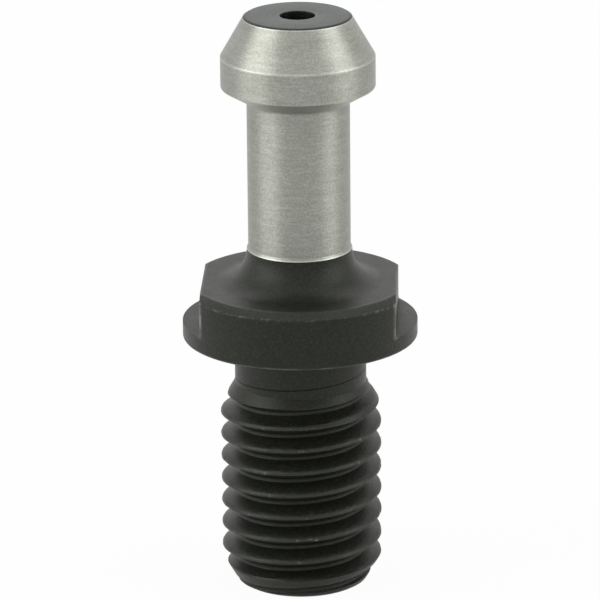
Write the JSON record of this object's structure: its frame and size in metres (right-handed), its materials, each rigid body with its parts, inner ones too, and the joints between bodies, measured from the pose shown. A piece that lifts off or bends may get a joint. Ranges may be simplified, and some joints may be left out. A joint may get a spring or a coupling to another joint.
{
  "type": "pull stud",
  "caption": "One-piece pull stud for a taper tool holder: conical head, ground neck, round flange with two wrench flats, threaded shank and a coolant hole.",
  "frame": {"origin": "on the axis, in the plane of the flange's seating face", "axes": "+Z along the axis towards the head, +X square to one wrench flat"},
  "size_m": [0.023, 0.023, 0.0575],
  "materials": {
    "steel": "black oxide all over, with the head's cones, its land and the neck ground bright"
  },
  "bodies": {
    "root": {"pull_stud": "steel"}
  },
  "joints": []
}
